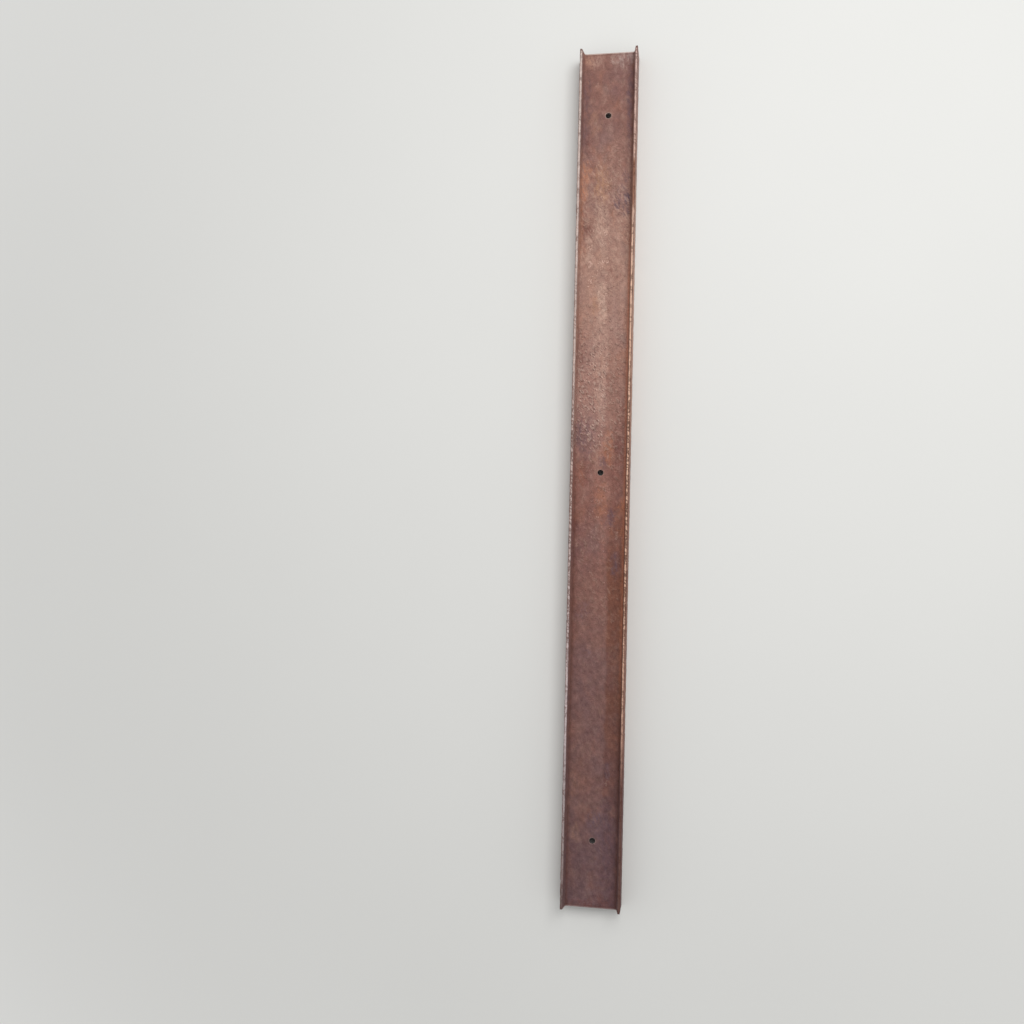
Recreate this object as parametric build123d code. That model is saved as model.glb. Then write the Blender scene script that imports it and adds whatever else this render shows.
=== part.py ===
from build123d import *
import os

# Rolled steel girder: one length of hot-rolled I-section with tapered flanges,
# and a row of bolt holes through its web.
# It lies with its web level and its flanges upright, so the section is an H seen along +Y.
# X runs across the depth of the section, Y along the girder, Z up across the flange width.
# The origin is under the middle of the girder, on the plane of the lower flange toes.
# Lengths are in millimetres.

# Stock
girder_length = 2640.0
section_depth = 180.0
flange_width = 82.0
web_thickness = 6.9

# Flanges. Their outer faces are flat and their inner faces slope, so each thins towards its toes.
# The nominal thickness is the one found at a share of the flange width in from the toe.
flange_thickness = 10.4
flange_thickness_station = 0.25
flange_inner_slope = 0.14
root_radius = 6.9
toe_radius = 4.1

# Bolt holes, drilled through the middle of the web
hole_diameter = 18.0
hole_end_distance = 200.0
hole_count = 3

# Sizes that follow from the ones above
half_depth = section_depth / 2
half_width = flange_width / 2
half_web = web_thickness / 2
half_length = girder_length / 2
toe_to_web = half_width - half_web
toe_thickness = flange_thickness - flange_inner_slope * flange_thickness_station * flange_width
heel_thickness = toe_thickness + flange_inner_slope * toe_to_web
hole_pitch = (girder_length - 2 * hole_end_distance) / (hole_count - 1)


def section_quarter():
    """The quarter of the section with +X and +Y, from the web's middle out to a flange toe.

    Local X is the depth direction and local Y the flange width.
    """
    web_corner = (half_depth - heel_thickness, half_web)
    inner_toe = (half_depth - toe_thickness, half_width)
    outer_toe = (half_depth, half_width)
    with BuildSketch() as quarter:
        with BuildLine():
            Polyline(
                (0, 0),
                (half_depth, 0),
                outer_toe,
                inner_toe,
                web_corner,
                (0, half_web),
                close=True,
            )
        make_face()
        fillet(quarter.vertices().sort_by_distance(Vector(*web_corner))[0], root_radius)
        fillet(quarter.vertices().sort_by_distance(Vector(*inner_toe))[0], toe_radius)
    return quarter.sketch


def rolled_section():
    """The whole section: the quarter mirrored about the web, then about the middle of the depth."""
    half = section_quarter() + mirror(section_quarter(), about=Plane.XZ)
    return half + mirror(half, about=Plane.YZ)


def rolled_bar():
    """The section run along the girder, centred on Y, with the toes of the lower flanges at Z 0."""
    section_plane = Plane(origin=(0, -half_length, half_width), x_dir=(1, 0, 0), z_dir=(0, -1, 0))
    return extrude(section_plane * rolled_section(), amount=-girder_length)


def web_holes():
    """The drills' paths: one upright cylinder for each hole, in a row along the web."""
    with BuildPart() as drills:
        with Locations((0, 0, half_width)):
            with GridLocations(0, hole_pitch, 1, hole_count):
                Cylinder(radius=hole_diameter / 2, height=flange_width)
    return drills.part


rolled_girder = rolled_bar() - web_holes()

os.makedirs("parts", exist_ok=True)
export_step(rolled_girder, "parts/rolled_girder.step")
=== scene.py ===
import math
import random

import bmesh
import bpy
import numpy as np
from bpy.props import FloatProperty, FloatVectorProperty, IntProperty, PointerProperty
from bpy.types import Operator, Panel, PropertyGroup
from mathutils import Matrix, Vector, noise


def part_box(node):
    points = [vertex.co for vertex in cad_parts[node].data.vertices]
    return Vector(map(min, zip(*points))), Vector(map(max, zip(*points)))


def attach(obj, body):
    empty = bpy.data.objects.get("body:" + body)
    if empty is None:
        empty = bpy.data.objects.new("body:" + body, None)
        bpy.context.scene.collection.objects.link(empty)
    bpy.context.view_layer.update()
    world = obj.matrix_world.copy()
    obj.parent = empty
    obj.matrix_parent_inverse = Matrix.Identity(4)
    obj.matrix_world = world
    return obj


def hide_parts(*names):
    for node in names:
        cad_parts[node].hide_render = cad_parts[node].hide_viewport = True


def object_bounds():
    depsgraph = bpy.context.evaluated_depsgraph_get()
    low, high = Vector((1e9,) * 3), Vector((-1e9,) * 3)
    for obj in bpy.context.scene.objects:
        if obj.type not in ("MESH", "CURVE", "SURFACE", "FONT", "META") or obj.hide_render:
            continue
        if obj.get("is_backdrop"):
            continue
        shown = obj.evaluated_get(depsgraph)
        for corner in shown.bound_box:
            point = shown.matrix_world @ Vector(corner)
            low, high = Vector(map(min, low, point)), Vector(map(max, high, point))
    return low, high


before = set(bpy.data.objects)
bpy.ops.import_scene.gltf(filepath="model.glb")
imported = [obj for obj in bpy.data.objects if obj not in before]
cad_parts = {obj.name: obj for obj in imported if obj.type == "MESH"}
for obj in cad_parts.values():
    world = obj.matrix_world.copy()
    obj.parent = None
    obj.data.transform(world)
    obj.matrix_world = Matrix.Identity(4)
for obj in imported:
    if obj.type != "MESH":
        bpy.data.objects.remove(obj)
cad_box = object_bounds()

bl_info = {
    "name": "Rusted Steel Girder",
    "version": (1, 0, 0),
    "blender": (4, 5, 0),
    "location": "View3D > Sidebar > Girder",
    "description": "Builds a length of rusted I-section with tapered flanges and web holes",
    "category": "Add Mesh",
}

# The girder lies along Y with its web level. X runs across the section and Z is up.
# Its foot is at the low end of Y. Lengths are in metres.
GIRDER = "rolled_girder"
BODY = "root"
LOW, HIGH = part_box(GIRDER)
DEPTH = HIGH.x - LOW.x
LENGTH = HIGH.y - LOW.y
WIDTH = HIGH.z - LOW.z
MIDDLE_HEIGHT = (LOW.z + HIGH.z) / 2
BAKE_MAP = "OFBake"


def paint(red, green, blue):
    """A colour given as it looks on screen, 0 to 255 a channel, as the linear values that Blender mixes."""
    return tuple(
        c / 12.92 if c <= 0.04045 else ((c + 0.055) / 1.055) ** 2.4
        for c in (red / 255, green / 255, blue / 255)
    )


def soft(low, high, value):
    """0 at the low edge and 1 at the high one, with a soft step between. Low may be the larger number."""
    t = np.clip((value - low) / (high - low), 0.0, 1.0)
    return t * t * (3 - 2 * t)


def setting(name, description, default):
    return FloatProperty(name=name, description=description, default=default)


def length_setting(name, description, metres):
    return FloatProperty(
        name=name, description=description, default=metres, min=0.0, unit="LENGTH", precision=4
    )


def colour_setting(name, description, red, green, blue):
    default = paint(red, green, blue)
    return FloatVectorProperty(name=name, description=description, default=default, subtype="COLOR", size=3)


class GirderSizes(PropertyGroup):
    web_thickness: length_setting("Web", "Thickness of the web", 0.0069)
    flange_thickness: length_setting("Flange", "Flange thickness a quarter of the width from its toe", 0.0104)
    flange_slope: setting("Slope", "Slope of a flange's inner face", 0.14)
    root_radius: length_setting("Root radius", "Fillet between web and flange", 0.0069)
    toe_radius: length_setting("Toe radius", "Round on the inner edge of each toe", 0.0041)
    corner_radius: length_setting("Corner radius", "Worn round on the outer edge of each toe", 0.0011)
    hole_radius: length_setting("Hole radius", "Radius of each bolt hole", 0.009)
    hole_end_distance: length_setting("Hole to end", "From an end to the first bolt hole's middle", 0.2)
    hole_count: IntProperty(name="Holes", description="Bolt holes in a row along the web", default=3, min=2)


class RustSettings(PropertyGroup):
    station_step: length_setting("Step", "Length of the mesh's cells along the girder", 0.005)
    scale_thickness: length_setting("Scale", "Thickness of the rust scale that is still on", 0.0003)
    pit_depth: length_setting("Pit depth", "Depth of the deepest rust pits", 0.0007)
    nick_depth: length_setting("Nick depth", "Depth of the nicks along the toes", 0.0014)
    flake_count: IntProperty(name="Flakes", description="Loose flakes of scale", default=600, min=0)
    mauve: colour_setting("Mauve", "Colour where dark mill scale is left", 98, 78, 87)
    orange: colour_setting("Orange", "Colour of fresh rust", 176, 115, 85)
    ochre: colour_setting("Ochre", "Colour of dry yellowish rust", 178, 134, 104)
    tan: colour_setting("Tan", "Colour where the rust is rubbed thin", 192, 159, 143)
    maroon: colour_setting("Maroon", "Colour of old red rust", 104, 58, 52)
    # The crevice colour is also the painted shade in root fillets, beside raised flecks and under the rims of
    # scale patches.
    crevice: colour_setting("Crevice", "Colour in pits and root fillets", 82, 46, 35)
    edge: colour_setting("Edge", "Colour of the worn edges of holes and ends", 196, 176, 168)
    # The rubbed colour is partly painted highlight on high spots and lifted rims.
    rubbed: colour_setting("Rubbed", "Colour on the high spots of the pebbled stretch", 218, 188, 174)


class StageSettings(PropertyGroup):
    floor_size: length_setting("Floor", "Side of the square floor", 16.0)
    floor_colour: colour_setting("Floor colour", "Colour of the floor", 226, 226, 223)
    sky_strength: setting("Sky", "Strength of the even light from all round", 0.58)
    key_power: setting("Key", "Power of the soft light over the girder", 112.0)


def settings():
    scene = bpy.context.scene
    return scene.girder_sizes, scene.girder_rust, scene.girder_stage


# Node trees

class Value:
    """What one socket of a node puts out. Sums, differences and products of values are math nodes."""

    def __init__(self, socket):
        self.socket = socket
        self.tree = socket.id_data

    def __add__(self, other):
        return calculate("ADD", self, other)

    def __sub__(self, other):
        return calculate("SUBTRACT", self, other)

    def __rsub__(self, other):
        return calculate("SUBTRACT", other, self)

    def __mul__(self, other):
        return calculate("MULTIPLY", self, other)


def feed(socket, value):
    """Gives a socket a plain value, or links it to the value that feeds it."""
    if isinstance(value, Value):
        value.tree.links.new(value.socket, socket)
    elif socket.type == "RGBA":
        socket.default_value = (*value[:3], 1.0)
    else:
        socket.default_value = value


def add_node(kind, inputs=None, tree=None, **attributes):
    """Adds a node to a tree. Where no tree is given, it is the one that the inputs come from."""
    inputs = inputs or {}
    tree = tree or next(value.tree for value in inputs.values() if isinstance(value, Value))
    node = tree.nodes.new(kind)
    for name, value in attributes.items():
        setattr(node, name, value)
    for name, value in inputs.items():
        feed(node.inputs[name], value)
    return node


def value_from(kind, output, inputs=None, tree=None, **attributes):
    """Adds a node and returns one of the values that it puts out."""
    return Value(add_node(kind, inputs, tree, **attributes).outputs[output])


def calculate(operation, *numbers):
    return value_from("ShaderNodeMath", 0, dict(enumerate(numbers)), operation=operation)


def larger(first, second):
    return calculate("MAXIMUM", first, second)


def vectors(operation, *operands, output="Vector"):
    return value_from("ShaderNodeVectorMath", output, dict(enumerate(operands)), operation=operation)


def axes_of(where):
    """How far across, along and up a place is."""
    outputs = add_node("ShaderNodeSeparateXYZ", {"Vector": where}).outputs
    return [Value(outputs[axis]) for axis in "XYZ"]


def soft_step(value, low, high):
    """A node's answer to soft(): 1 where the value is above high, 0 where it is under low."""
    inputs = {"Value": value, "From Min": low, "From Max": high}
    return value_from("ShaderNodeMapRange", "Result", inputs, interpolation_type="SMOOTHSTEP")


def window(value, rise, full, fade, gone):
    """1 between two places, with a soft step at each."""
    return soft_step(value, rise, full) * (1 - soft_step(value, fade, gone))


def spread(value, low, high):
    """A value from 0 to 1 spread over another range."""
    return value_from("ShaderNodeMapRange", "Result", {"Value": value, "To Min": low, "To Max": high})


def blend_colours(share, under, over, how="MIX"):
    values = {"Factor": share, "A": under, "B": over}
    tree = next(value.tree for value in values.values() if isinstance(value, Value))
    node = add_node("ShaderNodeMix", tree=tree, data_type="RGBA", blend_type=how)
    for socket in node.inputs:
        if socket.enabled:
            feed(socket, values[socket.name])
    return Value(next(socket for socket in node.outputs if socket.enabled))


def shaded(tone, level):
    """A colour made lighter or darker. A level of 1 leaves it as it is."""
    channels = dict.fromkeys(("Red", "Green", "Blue"), level)
    return blend_colours(1.0, tone, value_from("ShaderNodeCombineColor", "Color", channels), how="MULTIPLY")


def grain_at(where, scale, detail=3.0, roughness=0.55, distortion=0.0, output="Fac"):
    inputs = {"Vector": where, "Scale": scale, "Detail": detail, "Roughness": roughness}
    inputs["Distortion"] = distortion
    return value_from("ShaderNodeTexNoise", output, inputs)


def moved(where, shift=(0, 0, 0), stretch=(1, 1, 1), slant=0.0):
    """Places for a pattern that is stretched along its own axes, then turned about Z by some degrees."""
    inputs = {"Vector": where, "Location": shift, "Rotation": (0, 0, math.radians(slant)), "Scale": stretch}
    return value_from("ShaderNodeMapping", "Vector", inputs, vector_type="TEXTURE")


def node_group(name, inputs, outputs, fill):
    """The shader node group of that name, made once. The function that fills it gets its inputs by name."""
    if name in bpy.data.node_groups:
        return bpy.data.node_groups[name]
    group = bpy.data.node_groups.new(name, "ShaderNodeTree")
    for way, sockets in (("INPUT", inputs), ("OUTPUT", outputs)):
        for socket_name, kind in sockets.items():
            group.interface.new_socket(name=socket_name, in_out=way, socket_type=f"NodeSocket{kind}")
    given = group.nodes.new("NodeGroupInput").outputs
    results = fill(**{socket_name.lower(): Value(given[socket_name]) for socket_name in inputs})
    end = group.nodes.new("NodeGroupOutput")
    for socket_name, value in results.items():
        feed(end.inputs[socket_name], value)
    return group


def place(group, **inputs):
    """Puts a node group in the tree that its inputs come from. Returns the values it puts out, by name."""
    named = {name.title(): value for name, value in inputs.items()}
    outputs = add_node("ShaderNodeGroup", named, node_tree=group).outputs
    return {socket.name: Value(socket) for socket in outputs}


# Patterns that several finishes share

def fill_blotches(vector, scale, cover, softness):
    where = moved(vector, stretch=(1.0, 1.4, 1.0))
    broad = grain_at(where, scale, detail=6.0, roughness=0.62, distortion=0.5)
    middle = 1 - cover
    return {"Mask": soft_step(broad, middle - softness, middle + softness)}


def blotches(where, scale, cover, softness):
    """A mask of blotches with ragged edges, such as islands of scale, a little longer along the girder."""
    inputs = {"Vector": "Vector", "Scale": "Float", "Cover": "Float", "Softness": "Float"}
    group = node_group("Rust Blotches", inputs, {"Mask": "Float"}, fill_blotches)
    return place(group, vector=where, scale=scale, cover=cover, softness=softness)["Mask"]


def fill_stain(vector, centre, reach, strength):
    shares = vectors("DIVIDE", vectors("SUBTRACT", vector, centre), reach)
    distance = vectors("LENGTH", shares, output="Value")
    return {"Mask": (1 - soft_step(distance, 0.3, 1.15)) * strength}


def stain(where, centre, reach, strength):
    """A mask of one stain at a stated place. It frays where noise has moved the places that it is given."""
    inputs = {"Vector": "Vector", "Centre": "Vector", "Reach": "Vector", "Strength": "Float"}
    group = node_group("Placed Stain", inputs, {"Mask": "Float"}, fill_stain)
    return place(group, vector=where, centre=centre, reach=reach, strength=strength)["Mask"]


def fill_pits(vector, spacing, amount):
    scale = calculate("DIVIDE", 1.0, spacing)
    cells = add_node("ShaderNodeTexVoronoi", {"Vector": vector, "Scale": scale}).outputs
    near = 1 - soft_step(Value(cells["Distance"]), 0.06, 0.40)
    chance = value_from("ShaderNodeSeparateColor", "Red", {"Color": Value(cells["Color"])})
    threshold = 1 - amount
    return {"Mask": near * soft_step(chance, threshold, threshold + 0.25)}


def pits(where, spacing, amount):
    """A mask of small round hollows of uneven depth. The amount is the share of places that have one."""
    inputs = {"Vector": "Vector", "Spacing": "Float", "Amount": "Float"}
    group = node_group("Rust Pits", inputs, {"Mask": "Float"}, fill_pits)
    return place(group, vector=where, spacing=spacing, amount=amount)["Mask"]


def fill_flecks(vector, scale, cover):
    slanted = moved(vector, slant=35, stretch=(1.0, 2.0, 1.0))
    grain = grain_at(slanted, scale, detail=2.5, roughness=0.5, distortion=0.5)
    middle = 1 - cover
    return {"Mask": soft_step(grain, middle - 0.04, middle + 0.09), "Height": grain}


def flecks(where, scale, cover):
    """The mask and the height of short slanting flecks, as scale leaves where it lifts off rolled steel."""
    inputs = {"Vector": "Vector", "Scale": "Float", "Cover": "Float"}
    group = node_group("Slanting Flecks", inputs, {"Mask": "Float", "Height": "Float"}, fill_flecks)
    outputs = place(group, vector=where, scale=scale, cover=cover)
    return outputs["Mask"], outputs["Height"]


# Rust

# Colour of the rust from the foot of the girder, 0, to its upper end, 1. Its darkening towards the foot is
# partly the rust's own colour and partly painted shade of light that falls off towards the foot.
RUST_ALONG = (
    (0.00, (105, 77, 76)),
    (0.30, (127, 91, 83)),
    (0.47, (136, 93, 83)),
    (0.57, (160, 121, 110)),
    (0.74, (170, 133, 118)),
    (0.92, (134, 96, 87)),
)

# Colours of the two upper toes along the girder in the same way. Their paleness is partly wear and partly
# painted light on the toes, and their darkening at the foot is partly painted shade.
LEFT_TOE_ALONG = (
    (0.00, (100, 80, 78)),
    (0.06, (148, 132, 130)),
    (0.14, (172, 158, 158)),
    (0.22, (194, 178, 178)),
    (0.50, (188, 166, 158)),
    (1.00, (200, 182, 174)),
)
RIGHT_TOE_ALONG = (
    (0.00, (100, 74, 68)),
    (0.14, (104, 72, 66)),
    (0.20, (178, 138, 121)),
    (0.55, (210, 168, 145)),
    (0.78, (208, 172, 152)),
    (1.00, (194, 164, 156)),
)
BROWN_TOE = paint(136, 92, 72)
# A painted highlight for the right toe's inner edge.
PAINTED_TOE_HIGHLIGHT = paint(248, 206, 178)
FRESH_ROOT = paint(176, 112, 84)
RIGHT_SIDE_AT_FOOT = paint(92, 62, 62)
RIGHT_SIDE = paint(106, 62, 44)

# Stains on the upper face of the web, the last a painted shadow across the foot end. Each has its place
# across and along, its reach across and along, its strength and its colour.
WEB_STAINS = (
    (0.050, 1.305, 0.050, 0.038, 0.42, "edge"),
    (0.066, 1.160, 0.012, 0.190, 0.50, "mauve"),
    (-0.070, 1.130, 0.016, 0.170, 0.36, "mauve"),
    (-0.050, 1.304, 0.036, 0.034, 0.40, "tan"),
    (-0.064, 1.306, 0.026, 0.040, 0.22, "orange"),
    (-0.040, 1.100, 0.026, 0.040, 0.20, "ochre"),
    (-0.062, 1.032, 0.014, 0.034, 0.45, "maroon"),
    (-0.070, 0.920, 0.020, 0.080, 0.50, "tan"),
    (-0.074, 0.900, 0.016, 0.110, 0.65, "orange"),
    (-0.070, 0.780, 0.014, 0.085, 0.38, "maroon"),
    (-0.077, 0.760, 0.010, 0.110, 0.35, "orange"),
    (-0.058, 0.942, 0.020, 0.040, 0.40, "orange"),
    (0.046, 0.860, 0.032, 0.060, 0.34, "mauve"),
    (0.067, 0.850, 0.013, 0.030, 0.90, "mauve"),
    (0.036, 0.840, 0.011, 0.016, 0.60, "mauve"),
    (0.064, 0.812, 0.013, 0.018, 0.55, "mauve"),
    (0.062, 0.922, 0.011, 0.026, 0.45, "mauve"),
    (-0.016, 0.892, 0.032, 0.090, 0.48, "ochre"),
    (-0.052, 0.755, 0.020, 0.040, 0.50, "maroon"),
    (-0.012, 0.765, 0.026, 0.120, 0.50, "tan"),
    (-0.046, 0.690, 0.018, 0.034, 0.45, "tan"),
    (0.014, 0.632, 0.016, 0.034, 0.42, "maroon"),
    (-0.075, 0.380, 0.013, 0.120, 0.45, "maroon"),
    (-0.006, 0.530, 0.018, 0.085, 0.85, "tan"),
    (0.030, 0.610, 0.022, 0.050, 0.14, "maroon"),
    (-0.027, 0.520, 0.020, 0.045, 0.35, "ochre"),
    (-0.010, 0.385, 0.040, 0.110, 0.35, "tan"),
    (-0.050, 0.220, 0.034, 0.090, 0.12, "mauve"),
    (-0.002, 0.240, 0.016, 0.110, 0.42, "tan"),
    (0.056, 0.120, 0.026, 0.120, 0.35, "maroon"),
    (0.040, 0.050, 0.036, 0.080, 0.34, "maroon"),
    (0.048, -0.040, 0.024, 0.090, 0.34, "maroon"),
    (-0.014, 0.040, 0.014, 0.050, 0.25, "tan"),
    (0.024, 0.078, 0.017, 0.060, 0.50, "orange"),
    (-0.050, 0.105, 0.042, 0.080, 0.42, "mauve"),
    (-0.074, 0.125, 0.016, 0.055, 0.40, "mauve"),
    (0.007, 0.030, 0.018, 0.026, 0.40, "mauve"),
    (-0.050, 0.000, 0.034, 0.060, 0.26, "maroon"),
    (-0.062, -0.005, 0.020, 0.040, 0.20, "orange"),
    (0.067, -0.105, 0.011, 0.026, 0.55, "orange"),
    (0.062, -0.181, 0.011, 0.024, 0.55, "orange"),
    (0.037, -0.139, 0.015, 0.036, 0.60, "mauve"),
    (0.050, -0.287, 0.015, 0.046, 0.50, "mauve"),
    (0.004, -0.095, 0.026, 0.080, 0.34, "orange"),
    (-0.012, -0.190, 0.020, 0.060, 0.16, "tan"),
    (-0.070, -0.400, 0.015, 0.200, 0.26, "maroon"),
    (0.073, -0.460, 0.009, 0.420, 0.20, "orange"),
    (-0.076, -0.160, 0.011, 0.036, 0.45, "maroon"),
    (-0.044, -0.432, 0.024, 0.040, 0.35, "mauve"),
    (-0.030, -0.547, 0.015, 0.020, 0.30, "mauve"),
    (0.041, -0.913, 0.013, 0.034, 0.45, "mauve"),
    (-0.065, -0.950, 0.016, 0.065, 0.14, "ochre"),
    (0.062, -1.032, 0.013, 0.034, 0.12, "orange"),
    (0.006, -1.065, 0.030, 0.050, 0.60, "mauve"),
    (0.036, -1.120, 0.040, 0.160, 0.35, "mauve"),
    (-0.052, -1.100, 0.022, 0.038, 0.14, "ochre"),
    # Painted shadow across the foot end, in the maroon rust colour.
    (0.000, -1.312, 0.085, 0.026, 0.45, "maroon"),
)
STAIN_HEIGHT = 0.02
STAINED_FACE = MIDDLE_HEIGHT + 0.0035
FRAYING = (0.05, 0.12, 0.01)

# Blotches all over: scale, cover, softness, colour, and strengths at the foot and at the upper end.
BLOTCHES = (
    (8.0, 0.46, 0.14, "mauve", 0.33, 0.28),
    (15.0, 0.40, 0.12, "orange", 0.15, 0.26),
    (34.0, 0.42, 0.10, "tan", 0.07, 0.22),
    (60.0, 0.42, 0.10, "maroon", 0.14, 0.20),
)
RUST_COLOURS = ("mauve", "orange", "ochre", "tan", "maroon", "edge")


def along_girder(share, colours):
    """A colour that changes along the girder, through stops from its foot, 0, to its upper end, 1."""
    ramp = add_node("ShaderNodeValToRGB", {"Fac": share})
    stops = ramp.color_ramp.elements
    while len(stops) < len(colours):
        stops.new(1.0)
    for stop, (position, colour) in zip(stops, colours):
        stop.position = position
        stop.color = (*paint(*colour), 1.0)
    return Value(ramp.outputs["Color"])


def share_along(along):
    """How far along the girder a place is: 0 at its foot and 1 at its upper end."""
    return along * (1 / LENGTH) + 0.5


def browner_right(where, across, along, tone):
    """The right of the web is browner: a strip by the flange in the lower half, and more of it above."""
    ragged = grain_at(where, 12.0) * 0.03 + across
    lower_half = 1 - soft_step(along, -0.30, 0.05)
    strip = soft_step(ragged, 0.039, 0.051) * lower_half * 0.66
    above = soft_step(ragged, 0.022, 0.032) * window(along, -0.04, 0.08, 0.28, 0.46) * 0.24
    brown = blend_colours(soft_step(along, -1.10, -0.65), RIGHT_SIDE_AT_FOOT, RIGHT_SIDE)
    return blend_colours(larger(strip, above), tone, brown)


def blotched(where, along, tone, colours):
    upper_share = soft_step(along, -0.6, 0.5)
    for scale, cover, softness, colour, at_foot, at_top in BLOTCHES:
        shifted = moved(where, shift=(scale, 0.3 * scale, 0.7 * scale))
        strength = spread(upper_share, at_foot, at_top)
        tone = blend_colours(blotches(shifted, scale, cover, softness) * strength, tone, colours[colour])
    return tone


def stained(where, height, tone, colours):
    """Stains at stated places on the web, and a painted shadow at the foot end. They reach up the flanges,
    but hardly down through the web.
    """
    swirl = grain_at(where, 36.0, detail=5.0, roughness=0.7, output="Color")
    frayed = vectors("ADD", where, vectors("MULTIPLY", vectors("SUBTRACT", swirl, (0.5, 0.5, 0.5)), FRAYING))
    rise = height - STAINED_FACE
    rise = rise * (calculate("SIGN", rise) * -0.8 + 1.2)
    lifted = value_from("ShaderNodeCombineXYZ", "Vector", {"Z": rise})
    frayed = vectors("ADD", vectors("MULTIPLY", frayed, (1, 1, 0)), lifted)

    drawn = moved(where, shift=(2.2, 0.9, 0.5), stretch=(1.0, 2.6, 1.0), slant=15)
    threads = soft_step(grain_at(drawn, 130.0, detail=5.0, roughness=0.7), 0.38, 0.62)
    broken = spread(threads, 0.20, 1.25)
    for across, along, reach_across, reach_along, strength, colour in WEB_STAINS:
        reach = (reach_across, reach_along, STAIN_HEIGHT)
        mask = stain(frayed, (across, along, 0.0), reach, broken * strength)
        tone = blend_colours(mask, tone, colours[colour])
    return tone


def fill_rust_tone(vector, **colours):
    across, along, height = axes_of(vector)
    wander = (grain_at(vector, 7.0) - 0.5) * 0.14
    tone = along_girder(share_along(along) + wander, RUST_ALONG)
    tone = browner_right(vector, across, along, tone)
    tone = blotched(vector, along, tone, colours)
    return {"Color": stained(vector, height, tone, colours)}


def rust_tone(where, rust):
    """The rust's colour before pits, flecks and edges: its run along the length, blotches, then stains."""
    inputs = {"Vector": "Vector", **{colour.title(): "Color" for colour in RUST_COLOURS}}
    group = node_group("Rust Tone", inputs, {"Color": "Color"}, fill_rust_tone)
    colours = {colour: tuple(getattr(rust, colour)) for colour in RUST_COLOURS}
    return place(group, vector=where, **colours)["Color"]


# Materials

BACKDROP = paint(232, 232, 230)
FLOOR_FADE = (1.4, 4.6)
OUTER_FACE = (DEPTH / 2 - 0.0018, DEPTH / 2 - 0.0006)
OUTER_CORNER = (DEPTH / 2 - 0.0027, DEPTH / 2 - 0.0015)
TOE_TOP = (WIDTH / 2 - 0.0028, WIDTH / 2 - 0.0014)
TOE_INNER_SIDE = (DEPTH / 2 - 0.0062, DEPTH / 2 - 0.0034)
TOE_OUTER_SIDE = (DEPTH / 2 - 0.0040, DEPTH / 2 - 0.0020)
RUST_SPECULAR = 0.35


def blank_material(name):
    """A material with only its Principled shader and its output. Returns the material and the shader."""
    material = bpy.data.materials.new(name)
    material.use_nodes = True
    tree = material.node_tree
    tree.nodes.clear()
    shader = tree.nodes.new("ShaderNodeBsdfPrincipled")
    output = tree.nodes.new("ShaderNodeOutputMaterial")
    tree.links.new(shader.outputs["BSDF"], output.inputs["Surface"])
    return material, shader


def add_bump(shader, height, strength, distance):
    inputs = {"Height": height, "Strength": strength, "Distance": distance}
    feed(shader.inputs["Normal"], value_from("ShaderNodeBump", "Normal", inputs))


class Spot:
    """A place on a piece, as its material's patterns see it."""

    def __init__(self, tree):
        self.tree = tree
        self.where = value_from("ShaderNodeTexCoord", "Object", tree=tree)
        self.across, self.along, self.height = axes_of(self.where)

    def mask(self, name):
        """A value that the mesh carries at each of its points."""
        attribute = {"attribute_name": name, "attribute_type": "GEOMETRY"}
        return value_from("ShaderNodeAttribute", "Fac", tree=self.tree, **attribute)


def relief_tone(spot, tone, rust):
    """Flecks, pebbles, streaks and pits over the rust's tone, with painted highlights and shadows on the
    flecks and pebbles. Returns the tone and their height.
    """
    where, along = spot.where, spot.along
    crevice, pale = tuple(rust.crevice), tuple(rust.tan)
    left_side = 1 - soft_step(spot.across, 0.002, 0.018)
    pebbly = window(along, 0.02, 0.12, 0.30, 0.62) * spread(left_side, 0.4, 1.0)
    rough = window(along, -0.80, -0.10, 0.94, 1.08)
    pitted = larger(spot.mask("pitted") * spread(rough, 0.15, 0.60), pebbly)

    # Each raised fleck is pale, partly rubbed and partly painted highlight, and has a painted shadow beside
    # it.
    raised, fleck_height = flecks(where, 128.0, 0.43)
    fleck_shadow, _ = flecks(moved(where, shift=(0.0016, -0.0034, 0.0)), 128.0, 0.45)
    calm = spread(rough, 0.40, 1.0)
    tone = blend_colours(fleck_shadow * calm * spread(pitted, 0.14, 0.46), tone, crevice)
    rubbed = blend_colours(pebbly, pale, tuple(rust.rubbed))
    tone = blend_colours(raised * calm * spread(pitted, 0.12, 0.38), tone, rubbed)

    # Pebbles: close-set dark ticks, each with a pale painted highlight beside it.
    slanted = moved(where, slant=42, stretch=(1.0, 1.9, 1.0))
    tick_highlight = pits(moved(slanted, shift=(0.0025, 0.0, 0.0)), 0.0078, pitted * 0.62)
    tick = pits(slanted, 0.0078, pitted * 0.62)
    tone = blend_colours(tick_highlight * spread(pebbly, 0.10, 0.62), tone, rubbed)
    tone = blend_colours(tick * spread(pebbly, 0.30, 0.78), tone, crevice)

    # Streaky ridges, nearly along the rolling direction, on the upper part of the web.
    drawn = moved(where, shift=(0.7, 0.2, 1.3), stretch=(1.0, 1.7, 1.0), slant=10)
    streaks, _ = flecks(drawn, 138.0, 0.44)
    tone = blend_colours(streaks * window(along, 0.50, 0.72, 0.94, 1.06) * 0.36, tone, pale)

    small_pits = pits(where, 0.0042, pitted * 0.45 + 0.15)
    tone = blend_colours(small_pits * 0.50, tone, crevice)
    return tone, fleck_height * spread(pitted, 0.4, 1.6) - small_pits * 0.9


def root_shade_and_rust(spot, right, tone, rust):
    """The roots are darkened with painted shade, but fresh rust has turned the upper right one orange over
    most of its length.
    """
    upper_side = soft_step(spot.height, MIDDLE_HEIGHT - 0.001, MIDDLE_HEIGHT + 0.001)
    fresh = window(spot.along, -0.85, -0.40, 0.60, 0.85) * right * upper_side
    share = spot.mask("root") * spread(fresh, 0.50, 0.62)
    return blend_colours(share, tone, blend_colours(fresh, tuple(rust.crevice), FRESH_ROOT))


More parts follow.
